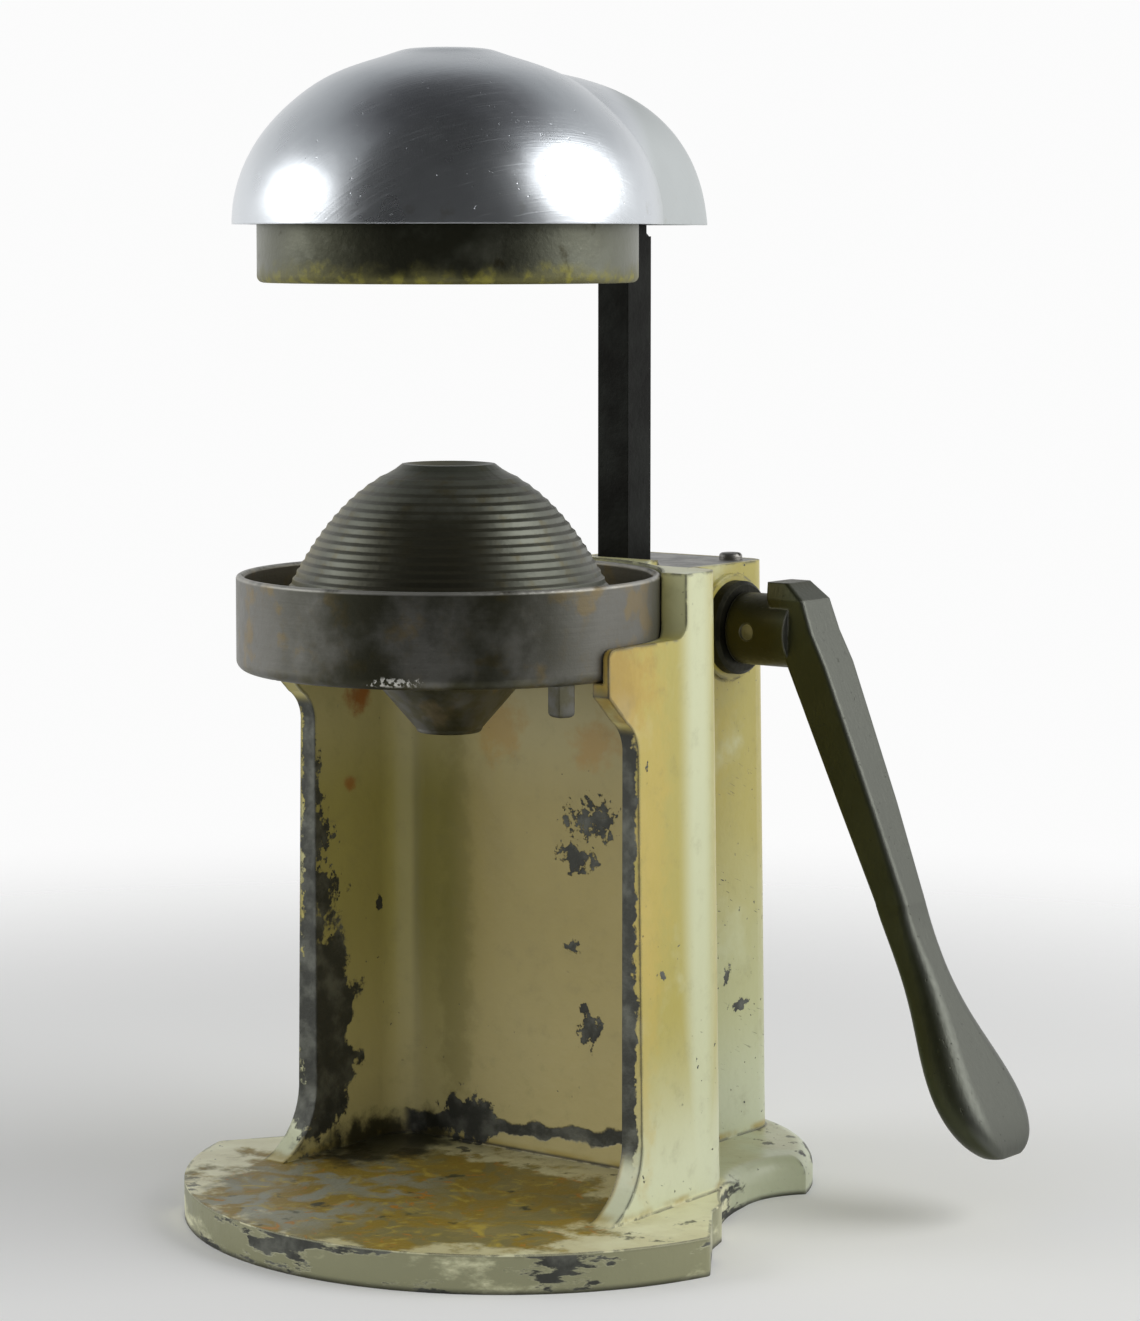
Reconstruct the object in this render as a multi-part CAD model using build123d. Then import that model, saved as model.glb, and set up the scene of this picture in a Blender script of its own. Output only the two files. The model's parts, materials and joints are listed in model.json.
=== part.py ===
from build123d import *
from math import acos, cos, pi, radians, sin, sqrt, tan
import os

# Hand-cranked rack-and-pinion citrus press. Millimetres, +Z up, +Y to the rear, +X to the crank side.
# The origin is on the bowl's axis, in the plane that the base stands on.

# Driving dimensions
BASE_THICK = 9.2
FRONT_ARC_R = 80.0
FRONT_ARC_Y = 22.6
REAR_ARC_R = 56.4
REAR_ARC_Y = 57.6
SHELL_HALF = 55.0
SHELL_BACK_Y = 44.0
TOWER_HALF = 24.9
TOWER_BACK_Y = 105.0
DRAFT_DEG = 0.8
WALL = 4.8
BAY_HALF = 48.0
BAY_BACK_Y = 39.0
CHEEK_TOP_Z = 144.7
SHELL_TOP_Z = 160.0
TOWER_TOP_Z = 157.0

BOWL_R = 51.0
BOWL_WALL = 2.0
BOWL_FLOOR_Z = 136.7
BOWL_RIM_Z = 159.4
SPOUT_TIP_Z = 121.0
SPOUT_R = 8.0
SPOUT_BORE_R = 6.0
SEAT_GAP = 0.3

CONE_BASE_Z = 147.2
CONE_TOP_Z = 186.0
CONE_WALL = 1.8
RIDGES = 20

DOME_R = 51.4
DOME_RIM_Z = 242.8
DOME_RISE = 41.8
DOME_WALL = 3.0
CUP_R = 45.5
CUP_WALL = 2.5
CUP_LIP_Z = 229.0
CUP_TOP_Z = 271.0

MODULE = 1.6
PINION_TEETH = 12
PRESSURE_ANGLE = radians(20)
BACKLASH = 0.3
SHAFT_Z = 141.0
RACK_HALF = 4.75
RACK_FRONT_Y = 65.6
RACK_PITCH_Y = 74.9
RACK_LOW_Z = 118.0
RACK_HIGH_Z = 257.0
RACK_SCREW_ZS = (246.2, 252.8)
RACK_ADDENDUM = 1.1
RACK_DEDENDUM = 1.55
RAIL_WIDTH = 1.15
RAIL_DROP = 0.75
PINION_ADDENDUM = 1.28
PINION_DEDENDUM = 1.4

SHAFT_R = 6.0
JOURNAL_R = 5.0
RUNNING_GAP = 0.05
SLIDE_GAP = 0.1
BOSS_FACE_X = 24.2
BOSS_R = 13.6
BUSH_R = 11.0
LEFT_BUSH_R = 8.5
HUB_R = 9.15
HUB_INNER_X = 28.0

# Worked out from the above
PITCH = pi * MODULE
PITCH_R = MODULE * PINION_TEETH / 2
SHAFT_Y = RACK_PITCH_Y + PITCH_R
TOOTH_THICK = PITCH / 2 - BACKLASH / 2
TOOTHED_HALF = RACK_HALF - RAIL_WIDTH
CAVITY_HALF = 18.5
CAVITY_FRONT_Y = 57.0
CAVITY_BACK_Y = 99.0
PLATE_THICK = 3.0
PLATE_Z = TOWER_TOP_Z - PLATE_THICK
GUIDE_LOW_Z = 125.0
SCREW_SPOTS = [(15.0, 60.5), (-15.0, 60.5), (15.0, 96.2), (-15.0, 96.2)]


def box(x0, x1, y0, y1, z0, z1):
    """Box between two corners."""
    return Pos((x0 + x1) / 2, (y0 + y1) / 2, (z0 + z1) / 2) * Box(x1 - x0, y1 - y0, z1 - z0)


def rod_z(radius, x, y, z0, z1):
    """Upright round bar."""
    return Pos(x, y, (z0 + z1) / 2) * Cylinder(radius, z1 - z0)


def rod_x(radius, x0, x1, y, z):
    """Round bar lying along X."""
    return Pos((x0 + x1) / 2, y, z) * Rot(0, 90, 0) * Cylinder(radius, x1 - x0)


def rod_y(radius, y0, y1, x, z):
    """Round bar lying along Y."""
    return Pos(x, (y0 + y1) / 2, z) * Rot(90, 0, 0) * Cylinder(radius, y1 - y0)


def turned(points):
    """Closed profile of (radius, z) corners, turned about the Z axis."""
    profile = Plane.XZ * make_face(Polyline(*points, close=True))
    return revolve(profile, Axis.Z)


def side_slab(face, half_width):
    """A face drawn as (y, z), given a thickness that is centred on X = 0."""
    return extrude(Plane.YZ * face, half_width, both=True)


# ---------------------------------------------------------------- frame casting
def base_plate():
    """Foot: a wide front arc, a waist beside the tower and a rounded rear foot."""
    corner = (77.0, 0.9)
    step = (64.0, 20.0)
    flank = (61.5, 27.5)
    waist = (47.2, 57.0)
    ear = (52.2, 77.0)
    front = ThreePointArc((-corner[0], corner[1]), (0, FRONT_ARC_Y - FRONT_ARC_R), corner)
    rear = ThreePointArc(ear, (0, REAR_ARC_Y + REAR_ARC_R), (-ear[0], ear[1]))
    edges = [front, rear]
    for side in (1, -1):
        edges.append(Line((side * corner[0], corner[1]), (side * step[0], step[1])))
        edges.append(Line((side * step[0], step[1]), (side * flank[0], flank[1])))
        edges.append(ThreePointArc((side * flank[0], flank[1]), (side * 50.9, 43.5), (side * waist[0], waist[1])))
        edges.append(ThreePointArc((side * waist[0], waist[1]), (side * 47.0, 67.5), (side * ear[0], ear[1])))
    plate = extrude(make_face(Wire(edges)), BASE_THICK)
    plate = fillet(plate.edges().filter_by(Axis.Z).filter_by(lambda e: abs(e.center().X) > 60), 2.5)
    top = plate.edges().group_by(Axis.Z)[-1]
    rear_top = top.filter_by(lambda e: e.center().Y > 60)
    plate = fillet(rear_top, 5.0)
    return plate


def shell_blank():
    """Drafted outside of the shell and the tower, before anything is cut from it."""
    with_corner = (SHELL_HALF - 1.6, SHELL_BACK_Y)
    plan = Polyline(
        (SHELL_HALF, -20), with_corner, (TOWER_HALF, SHELL_BACK_Y), (TOWER_HALF, TOWER_BACK_Y),
        (-TOWER_HALF, TOWER_BACK_Y), (-TOWER_HALF, SHELL_BACK_Y), (-with_corner[0], SHELL_BACK_Y),
        (-SHELL_HALF, -20), close=True)
    face = make_face(plan)
    rounded = face.vertices().filter_by(lambda v: v.Y > 0)
    face = fillet(rounded, 9.0)
    return extrude(face, SHELL_TOP_Z, taper=DRAFT_DEG)


def cheek_front():
    """What is cut away in front of the cheeks and above them, drawn as (y, z)."""
    edge_y = 5.5
    lip_y = -6.0
    foot_y = -7.5
    step_y = 26.0
    outline = [
        Line((-70, BASE_THICK), (foot_y, BASE_THICK)),
        ThreePointArc((foot_y, BASE_THICK), (2.2, 16.2), (edge_y, 28)),
        Line((edge_y, 28), (edge_y, 120)),
        ThreePointArc((edge_y, 120), (4.2, 124), (1, 127)),
        Line((1, 127), (lip_y, 133.5)),
        Line((lip_y, 133.5), (lip_y, CHEEK_TOP_Z - 2.5)),
        ThreePointArc((lip_y, CHEEK_TOP_Z - 2.5), (lip_y + 0.73, CHEEK_TOP_Z - 0.73),
                      (lip_y + 2.5, CHEEK_TOP_Z)),
        Line((lip_y + 2.5, CHEEK_TOP_Z), (step_y - 4, CHEEK_TOP_Z)),
        ThreePointArc((step_y - 4, CHEEK_TOP_Z), (step_y - 1.17, CHEEK_TOP_Z + 1.17), (step_y, CHEEK_TOP_Z + 4)),
        Line((step_y, CHEEK_TOP_Z + 4), (step_y, SHELL_TOP_Z + 10)),
        Line((step_y, SHELL_TOP_Z + 10), (-70, SHELL_TOP_Z + 10)),
        Line((-70, SHELL_TOP_Z + 10), (-70, BASE_THICK)),
    ]
    return side_slab(make_face(Wire(outline)), 80)


def bay():
    """Space for the glass, with rounded upright corners at the rear."""
    depth = BAY_BACK_Y + 70
    height = BOWL_FLOOR_Z - BASE_THICK
    hollow = box(-BAY_HALF, BAY_HALF, BAY_BACK_Y - depth, BAY_BACK_Y, BASE_THICK, BASE_THICK + height)
    return fillet(hollow.edges().filter_by(Axis.Z).filter_by(lambda e: e.center().Y > 0), 8.0)


def tower_cavity():
    """Hollow of the tower, widened at the top for the guide plate."""
    hollow = box(-CAVITY_HALF, CAVITY_HALF, CAVITY_FRONT_Y, CAVITY_BACK_Y, BASE_THICK + 3, SHELL_TOP_Z + 1)
    recess = box(-20.4, 20.4, CAVITY_FRONT_Y - 2, CAVITY_BACK_Y + 2, PLATE_Z, SHELL_TOP_Z + 1)
    return hollow + recess


def frame_casting():
    """Base, cheeks, back wall and tower, cast in one."""
    shell = shell_blank() - cheek_front() - bay()
    shell -= rod_z(BOWL_R + SEAT_GAP, 0, 0, BOWL_FLOOR_Z, SHELL_TOP_Z + 5)
    shell -= box(-40, 40, 54.0, 120, TOWER_TOP_Z, SHELL_TOP_Z + 5)
    shell += rod_x(BOSS_R, -BOSS_FACE_X, BOSS_FACE_X, SHAFT_Y, SHAFT_Z)
    shell -= tower_cavity()
    for x, y in SCREW_SPOTS:
        inner, outer = sorted((x * 0.78, x * 1.3))
        near, far = (CAVITY_FRONT_Y - 1, y + 3) if y < SHAFT_Y else (y - 2.6, CAVITY_BACK_Y + 1)
        shell += box(inner, outer, near, far, 150.6, PLATE_Z)
        shell -= rod_z(1.6, x, y, 148, PLATE_Z + 1)
    for side in (1, -1):
        inner, outer = sorted((side * 9.0, side * (CAVITY_HALF + 1)))
        shell += box(inner, outer, CAVITY_FRONT_Y - 1, 64, GUIDE_LOW_Z - 5, GUIDE_LOW_Z)
    shell -= rod_x(BUSH_R + RUNNING_GAP, CAVITY_HALF - 3, BOSS_FACE_X + 5, SHAFT_Y, SHAFT_Z)
    shell -= rod_x(LEFT_BUSH_R + RUNNING_GAP, -BOSS_FACE_X - 5, -CAVITY_HALF + 3, SHAFT_Y, SHAFT_Z)
    return base_plate() + shell


# ---------------------------------------------------------------- bowl and strainer
def juice_bowl():
    """Round bowl with a funnel spout and a locating lug beside the right cheek."""
    inner_r = BOWL_R - BOWL_WALL
    ledge_r = inner_r - 1.6
    floor_top = BOWL_FLOOR_Z + 2.2
    outline = [
        Line((SPOUT_BORE_R, SPOUT_TIP_Z), (SPOUT_R - 1, SPOUT_TIP_Z)),
        ThreePointArc((SPOUT_R - 1, SPOUT_TIP_Z), (SPOUT_R - 0.29, SPOUT_TIP_Z + 0.29), (SPOUT_R, SPOUT_TIP_Z + 1)),
        Line((SPOUT_R, SPOUT_TIP_Z + 1), (18.6, BOWL_FLOOR_Z - 2.4)),
        ThreePointArc((18.6, BOWL_FLOOR_Z - 2.4), (20.3, BOWL_FLOOR_Z - 0.7), (22.8, BOWL_FLOOR_Z)),
        Line((22.8, BOWL_FLOOR_Z), (BOWL_R - 2.5, BOWL_FLOOR_Z)),
        ThreePointArc((BOWL_R - 2.5, BOWL_FLOOR_Z), (BOWL_R - 0.73, BOWL_FLOOR_Z + 0.73),
                      (BOWL_R, BOWL_FLOOR_Z + 2.5)),
        Line((BOWL_R, BOWL_FLOOR_Z + 2.5), (BOWL_R, BOWL_RIM_Z - 0.8)),
        ThreePointArc((BOWL_R, BOWL_RIM_Z - 0.8), (BOWL_R - BOWL_WALL / 2, BOWL_RIM_Z),
                      (inner_r, BOWL_RIM_Z - 0.8)),
        Line((inner_r, BOWL_RIM_Z - 0.8), (inner_r, CONE_BASE_Z - 1.4)),
        Line((inner_r, CONE_BASE_Z - 1.4), (ledge_r, CONE_BASE_Z - 1.4)),
        Line((ledge_r, CONE_BASE_Z - 1.4), (ledge_r, floor_top + 1)),
        Line((ledge_r, floor_top + 1), (20.2, floor_top)),
        Line((20.2, floor_top), (SPOUT_BORE_R, SPOUT_TIP_Z + 3)),
        Line((SPOUT_BORE_R, SPOUT_TIP_Z + 3), (SPOUT_BORE_R, SPOUT_TIP_Z)),
    ]
    bowl = revolve(Plane.XZ * make_face(Wire(outline)), Axis.Z)
    lug = box(44.6, 49.0, -2.2, 2.2, BOWL_FLOOR_Z - 7.5, BOWL_FLOOR_Z + 1)
    lug = fillet(lug.edges().group_by(Axis.Z)[0], 1.2)
    return bowl + Rot(0, 0, -17) * lug


def cone_radius(z):
    """Outer radius of the reamer at a height: a rounded shoulder that steepens downwards."""
    drop = CONE_TOP_Z + 1.0 - z
    return 8.2 * sqrt(drop) - 0.235 * drop


def strainer_cone():
    """Ridged reamer on a perforated strainer flange, one hollow pressing."""
    step = (CONE_TOP_Z - 1.6 - CONE_BASE_Z) / RIDGES
    outer = [(0, CONE_TOP_Z - 1.6), (7.5, CONE_TOP_Z - 1.2), (10.2, CONE_TOP_Z - 0.2), (11.2, CONE_TOP_Z - 0.3)]
    for ridge in range(RIDGES):
        z = CONE_TOP_Z - 1.6 - ridge * step
        outer.append((cone_radius(z) + 0.28, z))
        outer.append((cone_radius(z - step * 0.62) - 0.12, z - step * 0.62))
    flange_r = BOWL_R - BOWL_WALL - 0.25
    foot_r = cone_radius(CONE_BASE_Z)
    outer += [(foot_r + 0.2, CONE_BASE_Z), (flange_r, CONE_BASE_Z), (flange_r, CONE_BASE_Z - 1.4)]
    inner = [(foot_r - CONE_WALL, CONE_BASE_Z - 1.4)]
    for level in range(1, 7):
        z = CONE_BASE_Z - 1.4 + level * (CONE_TOP_Z - CONE_BASE_Z - 3) / 7
        inner.append((cone_radius(z) - CONE_WALL, z))
    inner += [(8.5, CONE_TOP_Z - 3.6), (0, CONE_TOP_Z - 3.6)]
    cone = turned(outer + inner)
    mid_r = (foot_r + flange_r) / 2
    slots = []
    count = 40
    for i in range(count):
        slots.append(Rot(0, 0, i * 360 / count) * Pos(mid_r + 0.3, 0, CONE_BASE_Z - 0.7) * Box(3.6, 1.5, 4))
    return cone - slots


# ---------------------------------------------------------------- drive
def pinion_face():
    """Spur pinion outline with involute flanks; one tooth points at the rack."""
    base_r = PITCH_R * cos(PRESSURE_ANGLE)
    tip_r = PITCH_R + PINION_ADDENDUM
    root_r = PITCH_R - PINION_DEDENDUM
    half_at_pitch = TOOTH_THICK / 2 / PITCH_R

    def flank_angle(radius):
        pressure = acos(min(1.0, base_r / radius))
        return half_at_pitch + tan(PRESSURE_ANGLE) - PRESSURE_ANGLE - tan(pressure) + pressure

    radii = [base_r + (tip_r - base_r) * i / 4 for i in range(5)]
    flank = [(root_r, flank_angle(base_r))] + [(r, flank_angle(r)) for r in radii]
    points = []
    for tooth in range(PINION_TEETH):
        middle = pi + 2 * pi * tooth / PINION_TEETH
        for r, angle in flank:
            points.append((r * cos(middle - angle), r * sin(middle - angle)))
        for r, angle in reversed(flank):
            points.append((r * cos(middle + angle), r * sin(middle + angle)))
    return make_face(Polyline(*points, close=True))


def drive_pinion():
    """Twelve-tooth pinion between the rack's rails, with hubs on both sides and a cross pin's hole."""
    face_half = TOOTHED_HALF - 0.2
    toothed = Pos(-face_half, SHAFT_Y, SHAFT_Z) * extrude(Plane.YZ * pinion_face(), 2 * face_half)
    hub_r = PITCH_R - PINION_DEDENDUM + 0.2
    pinion = toothed + rod_x(hub_r, -9.5, 14, SHAFT_Y, SHAFT_Z)
    pinion -= rod_x(SHAFT_R, -10, 20, SHAFT_Y, SHAFT_Z)
    return pinion - rod_z(1.5, 10.6, SHAFT_Y, SHAFT_Z - 12, SHAFT_Z + 12)


def crank_shaft():
    """Stepped shaft: left journal, pinion seat, right journal and the handle's seat."""
    shaft = rod_x(SHAFT_R, -10, 42, SHAFT_Y, SHAFT_Z) + rod_x(JOURNAL_R, -23.4, -9.9, SHAFT_Y, SHAFT_Z)
    shaft -= rod_z(1.5, 10.6, SHAFT_Y, SHAFT_Z - 12, SHAFT_Z + 12)
    return shaft - rod_y(2.0, SHAFT_Y - 12, SHAFT_Y + 12, 34.5, SHAFT_Z)


def thrust_washer():
    """Washer between the pinion's hub and the collar bush."""
    return rod_x(9.0, 14.1, 15.6, SHAFT_Y, SHAFT_Z) - rod_x(SHAFT_R + RUNNING_GAP, 13, 17, SHAFT_Y, SHAFT_Z)


def collar_bush():
    """Flanged bush that closes the opening through which the pinion goes in."""
    bush = rod_x(BUSH_R, 16.2, BOSS_FACE_X, SHAFT_Y, SHAFT_Z)
    flange = rod_x(11.9, BOSS_FACE_X, HUB_INNER_X - 0.4, SHAFT_Y, SHAFT_Z)
    flange = chamfer(flange.edges().sort_by(Axis.X)[-1], 0.9)
    return bush + flange - rod_x(SHAFT_R + RUNNING_GAP, 10, 35, SHAFT_Y, SHAFT_Z)


def left_bush():
    """Blind bush for the shaft's left end, with a low domed cap."""
    bush = rod_x(LEFT_BUSH_R, -BOSS_FACE_X, -CAVITY_HALF + 1.5, SHAFT_Y, SHAFT_Z)
    cap = rod_x(11.0, -BOSS_FACE_X - 2.4, -BOSS_FACE_X, SHAFT_Y, SHAFT_Z)
    cap = fillet(cap.edges().sort_by(Axis.X)[0], 1.6)
    return bush + cap - rod_x(JOURNAL_R + RUNNING_GAP, -BOSS_FACE_X + 0.4, -10, SHAFT_Y, SHAFT_Z)


def crank_handle():
    """Hub, splayed arm and flat teardrop grip. Sections are level slices: x, z, x width, y width, corner."""
    slices = [
        (41.2, 153.6, 6.4, 11.0, 1.0), (44.0, 149.4, 11.2, 13.2, 1.2), (47.0, 141.6, 11.0, 13.8, 1.2),
        (50.5, 134.0, 12.0, 14.0, 1.2), (65.1, 99.6, 10.8, 12.6, 1.6), (74.9, 75.8, 9.6, 11.2, 2.2),
        (81.1, 61.0, 9.6, 12.6, 3.6), (88.3, 46.5, 11.0, 19.0, 5.0), (96.5, 31.5, 12.6, 28.0, 6.0),
        (101.7, 22.2, 11.4, 25.0, 5.5), (104.5, 16.6, 6.4, 13.0, 3.1),
    ]
    sections = [Pos(x, SHAFT_Y, z) * RectangleRounded(w, d, r) for x, z, w, d, r in slices]
    arm = loft(sections[:6], ruled=True) + loft(sections[5:])
    hub = rod_x(HUB_R, HUB_INNER_X, 45.5, SHAFT_Y, SHAFT_Z)
    handle = arm + hub
    for side in (1, -1):
        groove = make_face(Polyline((52.5, 139), (56.5, 139), (75.5, 82), (72.7, 82), close=True))
        groove = extrude(Pos(0, SHAFT_Y + side * 5.1, 0) * Plane.XZ * groove, -side * 6)
        handle -= groove
    handle -= rod_x(SHAFT_R, HUB_INNER_X - 1, 42, SHAFT_Y, SHAFT_Z)
    return handle - rod_y(2.0, SHAFT_Y - 12, SHAFT_Y + 12, 34.5, SHAFT_Z)


# ---------------------------------------------------------------- head
def rack():
    """Bar with teeth on its rear face between two low rails, and a plain screwed top."""
    root_y = RACK_PITCH_Y - RACK_DEDENDUM
    tip_y = RACK_PITCH_Y + RACK_ADDENDUM
    half_space = (PITCH - TOOTH_THICK) / 2
    at_root = half_space - RACK_DEDENDUM * tan(PRESSURE_ANGLE)
    at_tip = half_space + RACK_ADDENDUM * tan(PRESSURE_ANGLE)
    points = [(RACK_FRONT_Y, RACK_LOW_Z), (tip_y, RACK_LOW_Z)]
    for space in range(-4, 20):
        z = SHAFT_Z + space * PITCH
        points += [(tip_y, z - at_tip), (root_y, z - at_root), (root_y, z + at_root), (tip_y, z + at_tip)]
    points += [(tip_y, 240), (root_y, 242), (root_y, RACK_HIGH_Z), (RACK_FRONT_Y, RACK_HIGH_Z)]
    bar = side_slab(make_face(Polyline(*points, close=True)), TOOTHED_HALF)
    for side in (1, -1):
        inner, outer = sorted((side * TOOTHED_HALF, side * RACK_HALF))
        bar += box(inner, outer, RACK_FRONT_Y, tip_y - RAIL_DROP, RACK_LOW_Z, 240.0)
        bar += box(inner, outer, RACK_FRONT_Y, root_y, 240.0, RACK_HIGH_Z)
    for z in RACK_SCREW_ZS:
        bar -= rod_y(2.1, RACK_FRONT_Y - 1, root_y + 1, 0, z)
    return bar - rod_x(1.5, -10, 10, 69.4, RACK_LOW_Z + 4.6)


def crown(radius, z, rise):
    """Quarter ellipse from the rim, at this radius and height, up to the axis."""
    points = [(radius * cos(pi * i / 12), z + rise * sin(pi * i / 12)) for i in range(7)]
    return Spline(*points, tangents=[(0, 1), (-1, 0)])


def dome_body(wall):
    """Solid elliptical dome, drawn in by the wall."""
    rise = DOME_RISE - wall
    radius = DOME_R - wall
    outline = [
        crown(radius, DOME_RIM_Z, rise),
        Line((0, DOME_RIM_Z + rise), (0, DOME_RIM_Z)),
        Line((0, DOME_RIM_Z), (radius, DOME_RIM_Z)),
    ]
    return revolve(Plane.XZ * make_face(Wire(outline)), Axis.Z)


def hood_arch(y, half_width, height, lean_deg=0.0):
    """Cross section of the hood: a full-shouldered arch standing on the rim plane, leant forward."""
    points = []
    for i in range(13):
        angle = pi * i / 12
        side = 1 if i < 6 else -1
        points.append((side * half_width * abs(cos(angle)) ** 0.75, height * sin(angle) ** 0.75))
    lean = radians(lean_deg)
    stand = Plane(origin=(0, y, DOME_RIM_Z), x_dir=(1, 0, 0), z_dir=(0, -cos(lean), -sin(lean)))
    return stand * make_face(Wire([Spline(*points), Line(points[-1], points[0])]))


def hood(wall):
    """Rear hood over the rack: arches that run from inside the dome to a back that slopes outwards."""
    return loft([
        hood_arch(4, 43.0 - wall, 38.6 - wall),
        hood_arch(30, 39.6 - wall, 36.6 - wall),
        hood_arch(54, 31.5 - wall, 32.0 - wall),
        hood_arch(70 - wall / 2, 25.0 - wall, 25.5 - wall, 5),
        hood_arch(81.5 - wall, 17.5 - wall, 17.5 - wall, 14),
    ])


def dome_head():
    """Polished cover with its hood, a boss for the cup's screw and a block for the rack."""
    outside = dome_body(0) + hood(0)
    inside = dome_body(DOME_WALL) + hood(DOME_WALL)
    dome = outside - inside
    boss = rod_z(8.0, 0, 0, CUP_TOP_Z, DOME_RIM_Z + DOME_RISE - 1)
    block = box(-9, 9, 54, RACK_FRONT_Y, DOME_RIM_Z + 1.5, 280) & outside
    dome = dome + boss + block
    dome -= rod_z(2.5, 0, 0, CUP_TOP_Z - 1, CUP_TOP_Z + 9)
    for z in RACK_SCREW_ZS:
        dome -= rod_y(2.0, 56, RACK_FRONT_Y + 1, 0, z)
    return dome


def pressing_cup():
    """Upturned cup that presses the fruit half: an upright skirt under an elliptical crown."""
    inner_r = CUP_R - CUP_WALL
    outline = [
        Line((inner_r, CUP_LIP_Z), (CUP_R - 1.6, CUP_LIP_Z)),
        ThreePointArc((CUP_R - 1.6, CUP_LIP_Z), (CUP_R - 0.47, CUP_LIP_Z + 0.47), (CUP_R, CUP_LIP_Z + 1.6)),
        Line((CUP_R, CUP_LIP_Z + 1.6), (CUP_R, DOME_RIM_Z)),
        crown(CUP_R, DOME_RIM_Z, CUP_TOP_Z - DOME_RIM_Z),
        Line((0, CUP_TOP_Z), (0, CUP_TOP_Z - CUP_WALL)),
        crown(inner_r, DOME_RIM_Z, CUP_TOP_Z - CUP_WALL - DOME_RIM_Z),
        Line((inner_r, DOME_RIM_Z), (inner_r, CUP_LIP_Z)),
    ]
    cup = revolve(Plane.XZ * make_face(Wire(outline)), Axis.Z)
    cup -= rod_z(9, 0, 0, CUP_TOP_Z - 1.2, CUP_TOP_Z + 1)
    return cup - rod_z(2.6, 0, 0, 260, 280)


def cup_spacer():
    """Ring between the cup's crown and the dome's boss."""
    ring = rod_z(8.0, 0, 0, CUP_TOP_Z - 1.2, CUP_TOP_Z)
    return ring - rod_z(2.6, 0, 0, 260, 280)


def cup_screw():
    """Slotted screw that holds the cup, driven from below."""
    under = CUP_TOP_Z - CUP_WALL - 0.45
    head = rod_z(5.2, 0, 0, under - 3.4, under - 0.8)
    head = fillet(head.edges().group_by(Axis.Z)[0], 1.2)
    screw = head + rod_z(2.45, 0, 0, under - 1, CUP_TOP_Z + 8)
    return screw - box(-6, 6, -0.6, 0.6, under - 4, under - 2.3)


def cup_washer():
    """Washer under the cup screw's head."""
    under = CUP_TOP_Z - CUP_WALL - 0.45
    return rod_z(7.0, 0, 0, under - 0.8, under) - rod_z(2.6, 0, 0, 260, 280)


def rack_screws():
    """Two screws that hold the rack to the dome's block."""
    screws = []
    for z in RACK_SCREW_ZS:
        root_y = RACK_PITCH_Y - RACK_DEDENDUM
        head = rod_y(3.2, root_y, root_y + 1.6, 0, z)
        head -= box(-4, 4, root_y + 0.9, root_y + 3, z - 0.5, z + 0.5)
        screws.append(head + rod_y(1.95, 57, root_y + 0.1, 0, z))
    return Compound(screws)


# ---------------------------------------------------------------- guide and stops
def rack_guide():
    """Channel behind which the rack runs, with a pocket for the friction shoe."""
    block = box(-11, 11, CAVITY_FRONT_Y + 0.1, 72.6, GUIDE_LOW_Z, PLATE_Z)
    half = RACK_HALF + SLIDE_GAP
    block -= box(-half, half, RACK_FRONT_Y - SLIDE_GAP, 80, GUIDE_LOW_Z - 1, PLATE_Z + 1)
    return block - box(-half, half, 62.0, 80, 128.8, 149.2)


def friction_shoe():
    """Bronze pad that bears on the rack's front face and holds the head up."""
    return box(-4.6, 4.6, 63.6, RACK_FRONT_Y - 0.05, 129.0, 149.0)


def friction_spring():
    """Bowed leaf spring behind the friction shoe."""
    outer = ThreePointArc((62.0, 130.5), (63.6, 139.0), (62.0, 147.5))
    inner = ThreePointArc((62.0, 132.3), (63.1, 139.0), (62.0, 145.7))
    ends = [Line((62.0, 130.5), (62.0, 132.3)), Line((62.0, 145.7), (62.0, 147.5))]
    return side_slab(make_face(Wire([outer, inner] + ends)), 4.0)


def guide_plate():
    """Steel plate that closes the tower's top around the rack."""
    plate = box(-20.2, 20.2, CAVITY_FRONT_Y - 1.8, CAVITY_BACK_Y + 1.8, PLATE_Z, TOWER_TOP_Z)
    half = RACK_HALF + 0.4
    plate -= box(-half, half, RACK_FRONT_Y - 0.4, RACK_PITCH_Y + RACK_ADDENDUM + 0.5, PLATE_Z - 1, TOWER_TOP_Z + 1)
    for x, y in SCREW_SPOTS:
        plate -= rod_z(1.8, x, y, PLATE_Z - 1, TOWER_TOP_Z + 1)
    return plate


def guide_plate_screws():
    """Four round-headed screws in the guide plate."""
    screws = []
    for x, y in SCREW_SPOTS:
        head = rod_z(3.0, x, y, TOWER_TOP_Z, TOWER_TOP_Z + 1.8)
        head = fillet(head.edges().group_by(Axis.Z)[-1], 1.0)
        head -= box(x - 4, x + 4, y - 0.45, y + 0.45, TOWER_TOP_Z + 1.1, TOWER_TOP_Z + 3)
        screws.append(head + rod_z(1.5, x, y, 151, TOWER_TOP_Z + 0.1))
    return Compound(screws)


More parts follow.
